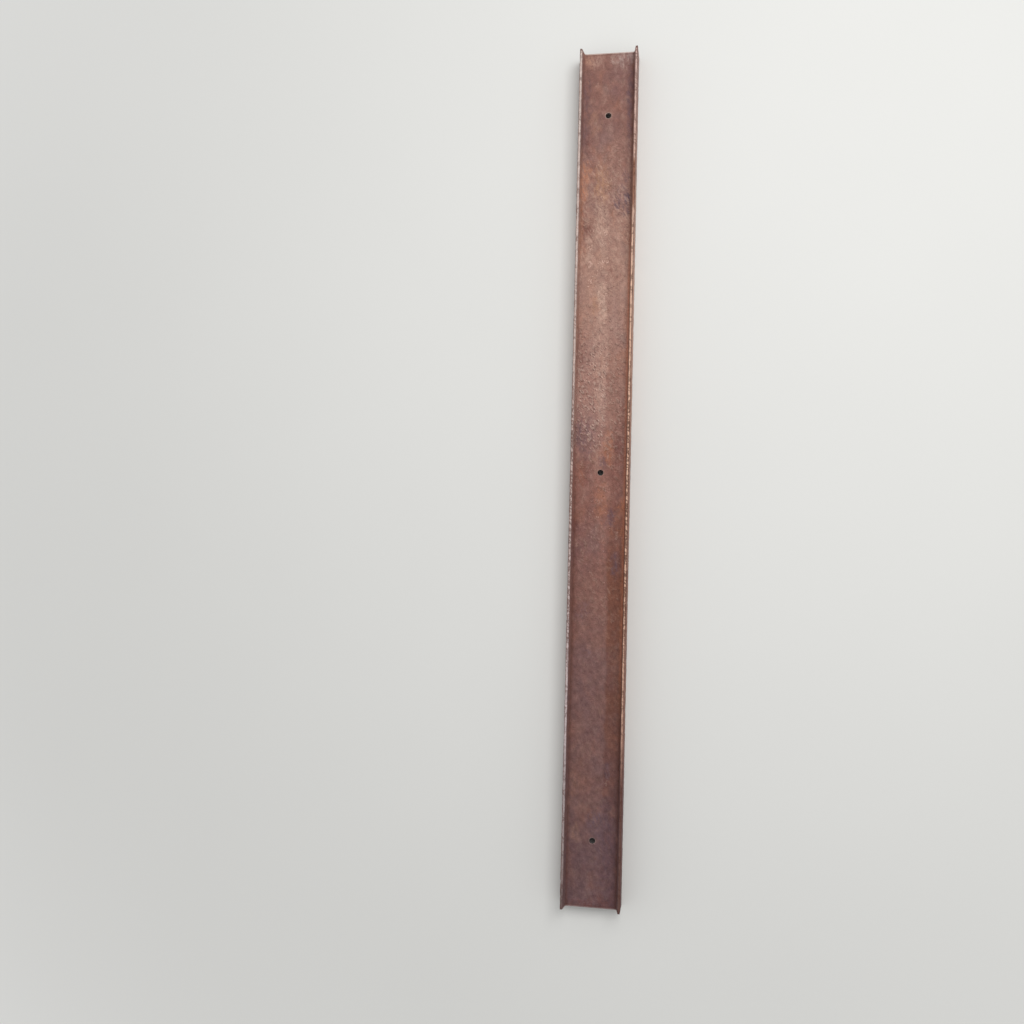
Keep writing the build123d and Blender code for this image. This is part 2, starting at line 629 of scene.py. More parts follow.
def toe_colours(spot, right, depth, rust):
    """The colour of the toes' tops, and the plainer one that the outer faces share."""
    share = share_along(spot.along)
    plain = blend_colours(right, along_girder(share, LEFT_TOE_ALONG), along_girder(share, RIGHT_TOE_ALONG))
    ragged = grain_at(spot.where, 40.0, detail=5.0) * 0.10 + spot.along
    brown = window(ragged, 0.84, 0.88, 1.00, 1.05) * right
    top = blend_colours(brown * 0.90, plain, BROWN_TOE)

    # The right toe is brightest along its inner edge, where a painted highlight lies over most of its length.
    bright = right * window(spot.along, -0.95, -0.55, 0.70, 0.84)
    inner_edge_highlight = (1 - soft_step(depth, *TOE_INNER_SIDE)) * bright
    top = blend_colours(inner_edge_highlight * 0.60, top, PAINTED_TOE_HIGHLIGHT)
    outer_edge = soft_step(depth, *TOE_OUTER_SIDE) * bright
    return blend_colours(outer_edge * 0.32, top, tuple(rust.crevice)), plain


def toe_cracks(spot, toe, right):
    """Slanting cracks across the toes, closest and darkest just below mid length."""
    slanted = moved(spot.where, slant=-40, stretch=(2.4, 1.0, 2.4))
    cells = {"Vector": vectors("ADD", slanted, grain_at(spot.where, 60.0) * 0.02), "Scale": 92.0}
    gap = value_from("ShaderNodeTexVoronoi", "Distance", cells, feature="DISTANCE_TO_EDGE")
    ticked = window(spot.along, -0.66, -0.48, 0.16, 0.34) * 0.80
    some = soft_step(grain_at(spot.where, 34.0), 0.46, 0.60) * 0.60
    return (1 - soft_step(gap, 0.04, 0.17)) * toe * spread(right, 0.85, 1.0) * larger(ticked, some)


def toe_wear_and_painted_light(spot, right, depth, tone, rust):
    """Toes and outer faces are paler, each side in its own colours, with cracks across the toes. The toes'
    paleness is partly wear and partly painted light.

    Returns the tone, the share of toe and the cracks.
    """
    where = spot.where
    toe_tone, plain_tone = toe_colours(spot, right, depth, rust)
    islands = blotches(where, 62.0, 0.50, 0.13)
    outer = soft_step(depth, *OUTER_FACE) * spread(islands, 0.25, 1.0) * spread(right, 0.22, 0.44)
    tone = blend_colours(outer, tone, plain_tone)
    frayed = grain_at(where, 110.0, detail=4.0) * 0.6 + spot.mask("toe")
    toe = soft_step(frayed, 0.54, 0.94)
    brighter = soft_step(grain_at(where, 42.0, detail=5.0, roughness=0.7), 0.34, 0.50)
    tone = blend_colours(toe * spread(brighter, 0.72, 1.0), tone, toe_tone)
    crack = toe_cracks(spot, toe, right)
    return blend_colours(crack, tone, tuple(rust.crevice)), toe, crack


def dark_corners(spot, toe, depth, tone, rust):
    """A dark line follows each outer corner, and the upper tips of the toes are dark."""
    crevice = tuple(rust.crevice)
    up = calculate("ABSOLUTE", spot.height - MIDDLE_HEIGHT)
    corner = soft_step(depth, *OUTER_CORNER) * soft_step(up, *TOE_TOP)
    tone = blend_colours(corner * spread(grain_at(spot.where, 40.0), 0.5, 1.0), tone, crevice)
    tips = toe * soft_step(spot.along, LENGTH / 2 - 0.008, LENGTH / 2 - 0.003)
    return blend_colours(tips * 0.80, tone, crevice)


def cut_steel(spot, toe, tone, rust):
    """Saw-cut ends and drilled holes have a bright burr. The ends also have a dull face and a dark line."""
    inward = LENGTH / 2 - calculate("ABSOLUTE", spot.along)
    behind = window(inward, 0.0034, 0.0050, 0.0055, 0.0090)
    tone = blend_colours(behind * 0.30, tone, tuple(rust.crevice))
    upper_end = soft_step(spot.along, 0.0, 0.1)
    burr = window(inward, 0.0002, 0.0006, 0.0024, 0.0038)
    cut_face = (1 - soft_step(inward, 0.0002, 0.0005)) * 0.30
    burr = larger(burr, cut_face) * spread(upper_end, 0.25, 0.80)
    rim = spot.mask("cut") * spread(upper_end, 0.18, 0.45)
    return blend_colours(larger(rim, burr) * (1 - toe), tone, tuple(rust.edge))


def mottled(spot, fine, tone):
    """Lighter and darker mottling. Its fine part is calmest at the foot, its coarse one at the top."""
    slanting = moved(spot.where, slant=30, stretch=(1.0, 1.4, 1.0))
    coarse = grain_at(slanting, 85.0, detail=2.0) - 0.5
    coarse_depth = spread(soft_step(spot.along, -0.60, 1.10), 0.85, 0.60)
    fine_depth = spread(soft_step(spot.along, -1.10, -0.85), 1.0, 1.35)
    return shaded(tone, (fine - 0.5) * fine_depth + 1.0 + coarse * coarse_depth)


def steel_material(rust):
    """Rust over mill scale, paler along the toes, darker in the roots, with pits and lifted flecks."""
    material, shader = blank_material("rusted_steel")
    spot = Spot(material.node_tree)
    right = soft_step(spot.across, -0.01, 0.01)
    depth = calculate("ABSOLUTE", spot.across)
    tone, height = relief_tone(spot, rust_tone(spot.where, rust), rust)
    tone = root_shade_and_rust(spot, right, tone, rust)
    tone, toe, crack = toe_wear_and_painted_light(spot, right, depth, tone, rust)
    tone = dark_corners(spot, toe, depth, tone, rust)
    tone = cut_steel(spot, toe, tone, rust)
    fine = grain_at(spot.where, 320.0, roughness=0.8)
    feed(shader.inputs["Base Color"], mottled(spot, fine, tone))
    bare = blotches(spot.where, 26.0, 0.40, 0.1)
    feed(shader.inputs["Roughness"], spread(bare, 0.93, 0.70))
    shader.inputs["Specular IOR Level"].default_value = RUST_SPECULAR
    add_bump(shader, height + fine * 0.35 - crack, 0.75, 0.0012)
    return material


def flake_material(rust):
    """Loose scale: each flake has a shade of its own, between tan and dark rust."""
    material, shader = blank_material("loose_scale")
    spot = Spot(material.node_tree)
    shade = spot.mask("shade")
    # Pale shades are brightened towards the rubbed colour, partly pale scale and partly painted highlight on
    # the patches' rims.
    paler = soft_step(shade, 0.35, 1.0)
    tone = shaded(rust_tone(spot.where, rust), paler * 0.35 + 1.0)
    tone = blend_colours(paler * 0.44, tone, tuple(rust.rubbed))
    # Dark shades are partly the flakes' own dark rust and partly painted shadow under the patches' rims.
    dark = (1 - soft_step(shade, 0.0, 0.3)) * 0.60
    feed(shader.inputs["Base Color"], blend_colours(dark, tone, tuple(rust.crevice)))
    grain = grain_at(spot.where, 600.0, detail=2.0)
    feed(shader.inputs["Roughness"], spread(grain, 0.75, 0.95))
    shader.inputs["Specular IOR Level"].default_value = RUST_SPECULAR
    add_bump(shader, grain, 0.5, 0.0004)
    return material


def seen_directly(tree):
    """1 for what the camera sees, straight, mirrored or through glass, and 0 for light on its way."""
    rays = tree.nodes.new("ShaderNodeLightPath").outputs
    camera, glossy, glass = (Value(rays[f"Is {kind} Ray"]) for kind in ("Camera", "Glossy", "Transmission"))
    return larger(larger(camera, glossy), glass)


def mixed_shader(share, under, over):
    """The mix of two shader outputs."""
    shaders = {0: share, 1: Value(under), 2: Value(over)}
    return value_from("ShaderNodeMixShader", 0, shaders)


def floor_material(stage):
    """Plain pale floor with faint clouding, that fades into the backdrop far from the girder."""
    material, shader = blank_material("pale_floor")
    tree = material.node_tree
    pale = tuple(stage.floor_colour)
    where = Spot(tree).where
    darker = tuple(0.97 * channel for channel in pale)
    feed(shader.inputs["Base Color"], blend_colours(grain_at(where, 1.3, detail=2.0), darker, pale))
    shader.inputs["Roughness"].default_value = 0.9
    shader.inputs["Specular IOR Level"].default_value = 0.2
    far = vectors("LENGTH", where, output="Value")
    faded = soft_step(far, *FLOOR_FADE) * seen_directly(tree)
    backdrop = add_node("ShaderNodeEmission", {"Color": BACKDROP, "Strength": 1.0}, tree)
    surface = mixed_shader(faded, shader.outputs["BSDF"], backdrop.outputs[0])
    feed(tree.nodes["Material Output"].inputs["Surface"], surface)
    return material


# The girder's skin

WEB_CELLS = 17
ROOT_CELLS = 4
INNER_FACE_CELLS = 6
TOE_CELLS = 4
CORNER_CELLS = 2
OUTER_FACE_CELLS = 10
HOLE_BLOCK_ACROSS = 4
HOLE_BLOCK_ALONG = 3
HOLE_RINGS = (0.45, 0.80, 1.0)
HOLE_EDGE_ROUND = 0.0006
END_EDGE_ROUND = 0.0007
TIP_LENGTH = 0.016
TOE_EDGE = (0.0050, 0.0022)
# Share of the painted root shade kept where the upper left root is lit.
LIT_ROOT_SHADE_SHARE = 0.15
SEAM_TOLERANCE = 1e-6
ROOT_REACH = (1.2, 0.3)

# Scales of the noise that the relief comes from, and the stretch of web that is pebbled all over.
SCALE_PATTERN = 34.0
PITTED_PATTERN = 14.0
PIT_PATTERN = 95.0
PEBBLED_STRETCH = (0.02, 0.14, 0.42, 0.56)


def rounded_path(corners, radii, arc_cells, run_cells):
    """Points along straight runs with a round at each inner corner, and the direction to the left of each.

    The last point of the path is left out.
    """
    corners = [np.array(corner) for corner in corners]
    ways = [(end - start) / np.linalg.norm(end - start) for start, end in zip(corners, corners[1:])]
    points, sides = [], []
    here = corners[0]
    for i, way in enumerate(ways):
        left = np.array((-way[1], way[0]))
        has_round = i < len(radii)
        turn = tangent = 0.0
        if has_round:
            onward = ways[i + 1]
            turn = math.atan2(way[0] * onward[1] - way[1] * onward[0], way @ onward)
            tangent = radii[i] * math.tan(abs(turn) / 2)
        run_end = corners[i + 1] - way * tangent
        for k in range(run_cells[i]):
            points.append(here + (run_end - here) * k / run_cells[i])
            sides.append(left)
        if has_round:
            hub = run_end + left * math.copysign(radii[i], turn)
            for k in range(arc_cells[i]):
                spin = np.array(Matrix.Rotation(turn * k / arc_cells[i], 2))
                points.append(hub + spin @ (run_end - hub))
                sides.append(spin @ left)
            here = corners[i + 1] + onward * tangent
    return np.array(points), np.array(sides)


def section_outline(sizes):
    """The section's outline, clockwise seen along +Y, from under the middle of the web.

    Returns its points across and up from the web's middle plane, and the outward direction at each.
    """
    half_depth, half_width, half_web = DEPTH / 2, WIDTH / 2, sizes.web_thickness / 2
    toe_thickness = sizes.flange_thickness - sizes.flange_slope * WIDTH / 4
    heel_thickness = toe_thickness + sizes.flange_slope * (half_width - half_web)
    corners = (
        (0.0, half_web),
        (half_depth - heel_thickness, half_web),
        (half_depth - toe_thickness, half_width),
        (half_depth, half_width),
        (half_depth, 0.0),
    )
    radii = (sizes.root_radius, sizes.toe_radius, sizes.corner_radius)
    arc_cells = (ROOT_CELLS, TOE_CELLS, CORNER_CELLS)
    run_cells = (WEB_CELLS, INNER_FACE_CELLS, 1, OUTER_FACE_CELLS)
    points, sides = rounded_path(corners, radii, arc_cells, run_cells)

    def whole(going, last):
        back = np.concatenate([[last], going[:0:-1]]) * (1, -1)
        half = np.concatenate([going, back])
        return np.concatenate([-half, half])

    return whole(points, (half_depth, 0.0)), whole(sides, (1.0, 0.0))


def hole_places(sizes):
    """Places of the bolt holes along the girder."""
    first = LENGTH / 2 - sizes.hole_end_distance
    return [-first + 2 * first * i / (sizes.hole_count - 1) for i in range(sizes.hole_count)]


def stations_along(sizes, step):
    """Places along the girder where the skin has a row of points. Each bolt hole's middle is one of them."""
    stops = [-LENGTH / 2, *hole_places(sizes), LENGTH / 2]
    rows = []
    for start, end in zip(stops, stops[1:]):
        cells = max(1, round((end - start) / step))
        rows.extend(start + (end - start) * k / cells for k in range(cells))
    return np.array([*rows, LENGTH / 2])


class Skin:
    """The girder's surface while it is put together.

    A point has its place, its outward direction, its distance round the section, and whether it is on a cut.
    A face may bring its own spots on the bake map. One of the swept surface gets them from its points.
    """

    def __init__(self):
        self.places, self.outs, self.girths, self.cuts = [], [], [], []
        self.quads, self.spots, self.caps = [], [], []
        self.count = 0

    def add_points(self, places, outs, girths, cut=False):
        self.places.append(places)
        self.outs.append(outs)
        self.girths.append(girths)
        self.cuts.append(np.full(len(places), float(cut)))
        self.count += len(places)
        return np.arange(self.count - len(places), self.count)

    def add_quads(self, quads, spots=None):
        self.quads.append(quads)
        self.spots.append(np.full((len(quads), 4, 2), np.nan) if spots is None else spots)

    def join_loops(self, outer, inner, outer_spots=None, inner_spots=None):
        """Faces between two closed loops of as many points, the outer one anticlockwise seen from outside."""
        quads = corners_between(outer, inner)
        self.add_quads(quads, None if outer_spots is None else corners_between(outer_spots, inner_spots))


def corners_between(outer, inner):
    return np.stack([outer, np.roll(outer, -1, axis=0), np.roll(inner, -1, axis=0), inner], axis=1)


class BakeLayout:
    """Where the skin lies on the square map that a bake uses, in metres of steel.

    The skin is cut into four lengths, two by two. The cut ends and the walls of the holes lie beside them.
    """

    gap = 0.010
    columns = 2

    def __init__(self, girth_round, web_thickness):
        self.girth_round = girth_round
        self.blocks = self.columns * self.columns
        self.block_length = LENGTH / self.blocks
        self.strip = self.gap + self.columns * (girth_round + self.gap)
        self.wall_step = web_thickness + self.gap
        across = self.strip + WIDTH + self.gap
        along = self.gap + self.columns * (self.block_length + self.gap)
        self.side = max(across, along)

    def on_skin(self, girths, y):
        """Spots for faces of the swept surface, from the corners' distances round the section and along."""
        spans = girths.max(axis=1) - girths.min(axis=1)
        past_seam = (spans > self.girth_round / 2)[:, None] & (girths < self.girth_round / 2)
        girths = np.where(past_seam, girths + self.girth_round, girths)
        block = ((y.mean(axis=1) - LOW.y) / self.block_length).astype(int).clip(0, self.blocks - 1)
        row, column = np.divmod(block, self.columns)
        left = self.gap + column * (self.girth_round + self.gap)
        base = self.gap + row * (self.block_length + self.gap) - LOW.y - block * self.block_length
        return np.stack([left[:, None] + girths, base[:, None] + y], axis=-1)

    def on_end(self, outline, number):
        base = self.gap + number * (DEPTH + self.gap) + DEPTH / 2
        return np.column_stack([self.strip + WIDTH / 2 + outline[:, 1], base + outline[:, 0]])

    def on_wall(self, count, number, radius, height):
        """Spots for one edge of a hole's wall, unrolled. A height of 0 is its upper edge."""
        base = self.gap + 2 * (DEPTH + self.gap) + number * self.wall_step
        across = self.strip + np.arange(count + 1) * 2 * math.pi * radius / count
        return np.column_stack([across, np.full(count + 1, base + height)])


def hole_block_loop(grid, middle, row):
    """The grid's points round the block of cells that a hole takes out, anticlockwise seen from outside."""
    points_round = grid.shape[1]
    across = [(middle + k) % points_round for k in range(-HOLE_BLOCK_ACROSS, HOLE_BLOCK_ACROSS + 1)]
    rows = list(range(row - HOLE_BLOCK_ALONG, row + HOLE_BLOCK_ALONG + 1))
    near = [grid[rows[0], k] for k in across[:-1]]
    right = [grid[r, across[-1]] for r in rows[:-1]]
    far = [grid[rows[-1], k] for k in across[:0:-1]]
    left = [grid[r, across[0]] for r in rows[:0:-1]]
    return np.array(near + right + far + left)


def add_hole(skin, grid, places, number, y, row, faces, sizes, girth_of, layout):
    """One bolt hole: rings from a square block to its round edge on both faces of the web, and its wall."""
    edges = []
    for middle, up in faces:
        loop = hole_block_loop(grid, middle, row)
        start = places[loop]
        face_height = MIDDLE_HEIGHT + up * sizes.web_thickness / 2
        away = start[:, :2] - (0.0, y)
        rays = away / np.linalg.norm(away, axis=1)[:, None]
        rim = (0.0, y) + rays * (sizes.hole_radius + HOLE_EDGE_ROUND)
        upward = np.tile((0.0, 0.0, float(up)), (len(loop), 1))
        for share in HOLE_RINGS:
            level = start[:, :2] * (1 - share) + rim * share
            ring = np.column_stack([level, np.full(len(loop), face_height)])
            inner = skin.add_points(ring, upward, girth_of(ring[:, 0], up), share == 1.0)
            skin.join_loops(loop, inner)
            loop = inner
        edge_height = np.full(len(loop), face_height - up * HOLE_EDGE_ROUND)
        edge = np.column_stack([(0.0, y) + rays * sizes.hole_radius, edge_height])
        inward = np.column_stack([-rays, np.zeros(len(loop))])
        inner = skin.add_points(edge, inward, girth_of(edge[:, 0], up), True)
        skin.join_loops(loop, inner)
        edges.append((inner, edge))
    (top, top_places), (under, under_places) = edges
    gaps = np.linalg.norm(top_places[:, None, :2] - under_places[None, :, :2], axis=2)
    quads = corners_between(top, under[gaps.argmin(axis=1)])
    upper = layout.on_wall(len(top), number, sizes.hole_radius, 0.0)
    lower = layout.on_wall(len(top), number, sizes.hole_radius, sizes.web_thickness)
    skin.add_quads(quads, np.stack([upper[:-1], upper[1:], lower[1:], lower[:-1]], axis=1))


def girder_skin(sizes, step):
    """The whole surface at its true size: the section swept along the stations, bolt holes and cut ends."""
    outline, sides = section_outline(sizes)
    points_round = len(outline)
    stations = stations_along(sizes, step)
    rows = len(stations)
    runs = np.linalg.norm(np.roll(outline, -1, axis=0) - outline, axis=1)
    girth = np.concatenate([[0.0], np.cumsum(runs)])
    girth_round, girth_top = girth[-1], girth[points_round // 2]
    layout = BakeLayout(girth_round, sizes.web_thickness)

    def girth_of(x, up):
        return girth_top + x if up > 0 else np.where(x > SEAM_TOLERANCE, girth_round - x, -x)

    along = stations.copy()
    along[0] += END_EDGE_ROUND
    along[-1] -= END_EDGE_ROUND
    x, up = np.tile(outline[:, 0], rows), np.tile(outline[:, 1], rows)
    places = np.column_stack([x, np.repeat(along, points_round), up + MIDDLE_HEIGHT])
    outs = np.column_stack([np.tile(sides[:, 0], rows), np.zeros(len(x)), np.tile(sides[:, 1], rows)])
    skin = Skin()
    grid = skin.add_points(places, outs, np.tile(girth[:-1], rows)).reshape(rows, points_round)

    kept = np.ones((rows - 1, points_round), bool)
    web_faces = ((points_round // 2, 1), (0, -1))
    hole_rows = [(y, int(np.abs(stations - y).argmin())) for y in hole_places(sizes)]
    for _, row in hole_rows:
        for middle, _ in web_faces:
            columns = [(middle + k) % points_round for k in range(-HOLE_BLOCK_ACROSS, HOLE_BLOCK_ACROSS)]
            kept[row - HOLE_BLOCK_ALONG : row + HOLE_BLOCK_ALONG, columns] = False
    onward = np.roll(grid, -1, axis=1)
    quads = np.stack([grid[:-1], onward[:-1], onward[1:], grid[1:]], axis=-1)
    skin.add_quads(quads[kept])
    for number, (y, row) in enumerate(hole_rows):
        add_hole(skin, grid, places, number, y, row, web_faces, sizes, girth_of, layout)

    # Cut ends: a narrow worn edge, then the flat face.
    inset = outline - sides * END_EDGE_ROUND
    for number, (row, way) in enumerate(((0, -1), (rows - 1, 1))):
        end_face = np.full(points_round, way * LENGTH / 2)
        ring = np.column_stack([inset[:, 0], end_face, inset[:, 1] + MIDDLE_HEIGHT])
        outs = np.tile((0.0, float(way), 0.0), (points_round, 1))
        edge = skin.add_points(ring, outs, girth[:-1], True)
        outer_spots, inner_spots = layout.on_end(outline, number), layout.on_end(inset, number)
        skin.join_loops(grid[row][::way], edge[::way], outer_spots[::way], inner_spots[::way])
        skin.caps.append((edge[::way], inner_spots[::way]))
    return skin, layout


def relief_at(x, y, z):
    """How much scale is left at a point of the rusted surface, how pitted it is, and how deep its pit is."""
    point = Vector((x, y, z))
    scale_left = soft(-0.10, 0.14, noise.fractal(point * SCALE_PATTERN + Vector((7, 0, 0)), 0.8, 2.1, 4))
    pitted = soft(-0.05, 0.35, noise.fractal(point * PITTED_PATTERN + Vector((0, 13, 0)), 1.0, 2.0, 3))
    if z > MIDDLE_HEIGHT and abs(x) < DEPTH / 2.5:
        rise, full, fade, gone = PEBBLED_STRETCH
        pitted = max(pitted, soft(rise, full, y) - soft(fade, gone, y))
    nearest = noise.voronoi(point * PIT_PATTERN)[0][0]
    return scale_left, pitted, pitted * soft(0.55, 0.10, nearest)


def weathered(skin, sizes, rust):
    """Presses the skin in where rust has eaten it, and nicks the toes. Returns its places and its masks."""
    places, outs = np.concatenate(skin.places), np.concatenate(skin.outs)
    cut = np.concatenate(skin.cuts)
    across, up = np.abs(places[:, 0]), np.abs(places[:, 2] - MIDDLE_HEIGHT)
    heel_thickness = sizes.flange_thickness + sizes.flange_slope * (WIDTH / 4 - sizes.web_thickness / 2)
    # The root mask marks where the steel material paints shade in the root fillets.
    from_heel = np.hypot(across - DEPTH / 2 + heel_thickness, up - sizes.web_thickness / 2)
    inside = across < DEPTH / 2 - heel_thickness / 3
    far, near = ROOT_REACH
    root = soft(far * sizes.root_radius, near * sizes.root_radius, from_heel) * inside
    # The painted root shade is mostly taken off the upper half of the upper left root, which is lit.
    brighter = (places[:, 0] < 0) * (places[:, 2] > MIDDLE_HEIGHT) * soft(-0.15, 0.15, places[:, 1])
    root *= 1 - brighter * (1 - LIT_ROOT_SHADE_SHARE)
    toe = soft(WIDTH / 2 - TOE_EDGE[0], WIDTH / 2 - TOE_EDGE[1], up)
    points = places.tolist()
    scale_left, pitted, pit = np.array([relief_at(*point) for point in points]).T
    nicks = np.array([noise.noise(Vector((x * 20, y * 70, z * 20 + 5))) for x, y, z in points])
    depth = rust.scale_thickness * (1 - scale_left) + rust.pit_depth * pit
    depth += toe * rust.nick_depth * soft(0.12, 0.55, nicks)
    upper_tips = (places[:, 2] > MIDDLE_HEIGHT) * soft(LENGTH / 2 - TIP_LENGTH, LENGTH / 2, places[:, 1])
    depth += toe * upper_tips * rust.nick_depth
    depth[cut > 0] = 0.0
    masks = {"pitted": pitted, "root": root, "toe": toe, "cut": cut}
    return places - outs * depth[:, None], masks


def weathered_girder_mesh(sizes, rust):
    """The girder as one closed mesh with its masks and its bake map."""
    skin, layout = girder_skin(sizes, rust.station_step)
    true_places = np.concatenate(skin.places)
    girths = np.concatenate(skin.girths)
    places, masks = weathered(skin, sizes, rust)
    quads, spots = np.concatenate(skin.quads), np.concatenate(skin.spots)
    swept = np.isnan(spots[:, 0, 0])
    spots[swept] = layout.on_skin(girths[quads[swept]], true_places[quads[swept]][:, :, 1])

    used = np.zeros(len(places), bool)
    used[quads] = True
    for loop, _ in skin.caps:
        used[loop] = True
    number = np.cumsum(used) - 1
    faces = number[quads].tolist() + [number[loop].tolist() for loop, _ in skin.caps]
    mesh = bpy.data.meshes.new("weathered_girder")
    mesh.from_pydata(places[used].tolist(), [], faces)
    for name, mask in masks.items():
        mesh.attributes.new(name, "FLOAT", "POINT").data.foreach_set("value", mask[used].astype(np.float32))
    bake_map = mesh.uv_layers.new(name=BAKE_MAP)
    all_spots = np.concatenate([spots.reshape(-1, 2), *(cap_spots for _, cap_spots in skin.caps)])
    bake_map.data.foreach_set("uv", (all_spots / layout.side).ravel())
    mesh.polygons.foreach_set("use_smooth", [True] * len(quads) + [False] * len(skin.caps))

    whole = bmesh.new()
    whole.from_mesh(mesh)
    whole.faces.ensure_lookup_table()
    bmesh.ops.triangulate(whole, faces=whole.faces[-len(skin.caps):], ngon_method="BEAUTY")
    whole.to_mesh(mesh)
    whole.free()
    mesh.validate()
    return mesh


def show(name, mesh):
    """An object for a mesh, in the scene."""
    piece = bpy.data.objects.new(name, mesh)
    bpy.context.scene.collection.objects.link(piece)
    return piece


# Where loose scale clings to the web: place across and along, spread across and along, and its share
# of the flakes.
FLAKY_PLACES = (
    (-0.012, 0.640, 0.026, 0.130, 0.22),
    (-0.034, 0.180, 0.024, 0.070, 0.30),
    (-0.010, -0.120, 0.022, 0.110, 0.18),
    (0.000, 0.250, 0.040, 0.450, 0.22),
)
FLAKE_RADIUS = (0.0009, 0.0026)
FLAKE_THICKNESS = (0.00022, 0.00048)
FLAKE_TILT = math.radians(9)
FLAKE_SHADE = 0.72

# Larger patches of scale: place across and along, spread across and along, least and most radius,
# and how many.
PATCHY_PLACES = (
    (-0.003, 0.657, 0.003, 0.004, 0.010, 0.013, 2),
    (-0.046, 0.644, 0.003, 0.005, 0.010, 0.013, 2),
    (-0.047, 0.593, 0.003, 0.005, 0.010, 0.013, 2),
    (-0.030, 0.690, 0.026, 0.080, 0.003, 0.009, 34),
    (-0.036, 0.200, 0.024, 0.060, 0.002, 0.004, 12),
    (-0.002, -0.160, 0.018, 0.110, 0.002, 0.005, 24),
    (0.037, -0.947, 0.003, 0.004, 0.003, 0.005, 3),
)
PATCH_CORNERS = 20
PATCH_RADIUS_TWICE_AS_THICK = 0.006

# Rings of a patch from its rim in: share of its reach, lift in thicknesses, and shade.
# The outermost ring's dark shade is painted shadow under the lifted rim, and the pale rim is partly painted
# highlight.
PATCH_RINGS = (
    (1.03, -0.5, 0.0),
    (0.99, 0.9, 0.2),
    (0.90, 1.1, 1.0),
    (0.70, 0.8, 0.8),
    (0.46, 0.5, 0.25),
    (0.2, 0.45, 0.15),
)

# How far loose scale keeps from the flanges' outer faces, from the ends, and from a hole's middle. The
# last is in hole radii.
ROOT_CLEARANCE = 0.024
END_CLEARANCE = 0.006
HOLE_CLEARANCE = 1.6


def flake(chance, x, y, z):
    """One flake: a thin plate with an uneven outline, its corners and its faces."""
    corners = chance.randint(5, 7)
    radius = chance.uniform(*FLAKE_RADIUS)
    stretch = chance.uniform(0.6, 1.0)
    thickness = chance.uniform(*FLAKE_THICKNESS)
    turn = Matrix.Rotation(chance.uniform(0, 2 * math.pi), 3, "Z")
    tilt = Matrix.Rotation(chance.uniform(-FLAKE_TILT, FLAKE_TILT), 3, "X")
    under, top = [], []
    for k in range(corners):
        angle = 2 * math.pi * (k + chance.uniform(-0.3, 0.3)) / corners
        reach = radius * chance.uniform(0.75, 1.1)
        corner = Vector((reach * math.cos(angle), stretch * reach * math.sin(angle), -thickness / 2))
        under.append(corner)
        top.append(Vector((corner.x * 0.86, corner.y * 0.86, thickness)))
    points = [Vector((x, y, z)) + turn @ (tilt @ corner) for corner in under + top]
    faces = [tuple(range(corners))[::-1], tuple(range(corners, 2 * corners))]
    faces += [(k, (k + 1) % corners, (k + 1) % corners + corners, k + corners) for k in range(corners)]
    return points, faces


def scale_patch(chance, radius, surface):
    """One patch of scale: a ragged plate with a lifted rim, that follows the surface under it."""
    seed = Vector((chance.uniform(0, 90), chance.uniform(0, 90), 0.0))
    thickness = chance.uniform(*FLAKE_THICKNESS) * (1 + radius / PATCH_RADIUS_TWICE_AS_THICK)
    slant = Matrix.Rotation(chance.gauss(-0.45, 0.3), 2)
    stretch = chance.uniform(0.55, 0.85)
    points, shades = [], []
    for reach, lift, shade in PATCH_RINGS:
        for k in range(PATCH_CORNERS):
            angle = 2 * math.pi * k / PATCH_CORNERS
            ray = Vector((math.cos(angle), math.sin(angle), 0.0))
            ragged = radius * (0.85 + 0.45 * noise.fractal(seed + ray * 1.1, 0.9, 2.0, 3))
            spot = slant @ Vector((ray.x * stretch, ray.y)) * ragged * reach
            uneven = 0.35 * noise.noise(seed + Vector((spot.x, spot.y, 0.0)) * 260.0)
            points.append(surface(spot, thickness * (lift + uneven * (lift > 0))))
            # The rim keeps its pale shade only where lit is high, in crescents of painted highlight, and
            # elsewhere comes down to a middle shade.
            lit = soft(-0.25, 0.30, noise.noise(seed + ray * 0.9))
            shades.append(min(shade, 0.35 + (shade - 0.35) * lit) if shade > 0.35 else shade)
    rows = len(PATCH_RINGS)
    last = (rows - 1) * PATCH_CORNERS
    faces = [tuple(range(PATCH_CORNERS))[::-1], tuple(range(last, last + PATCH_CORNERS))]
    for row in range(rows - 1):
        for k in range(PATCH_CORNERS):
            near, far = row * PATCH_CORNERS, (row + 1) * PATCH_CORNERS
            onward = (k + 1) % PATCH_CORNERS
            faces.append((near + k, near + onward, far + onward, far + k))
    return points, faces, shades


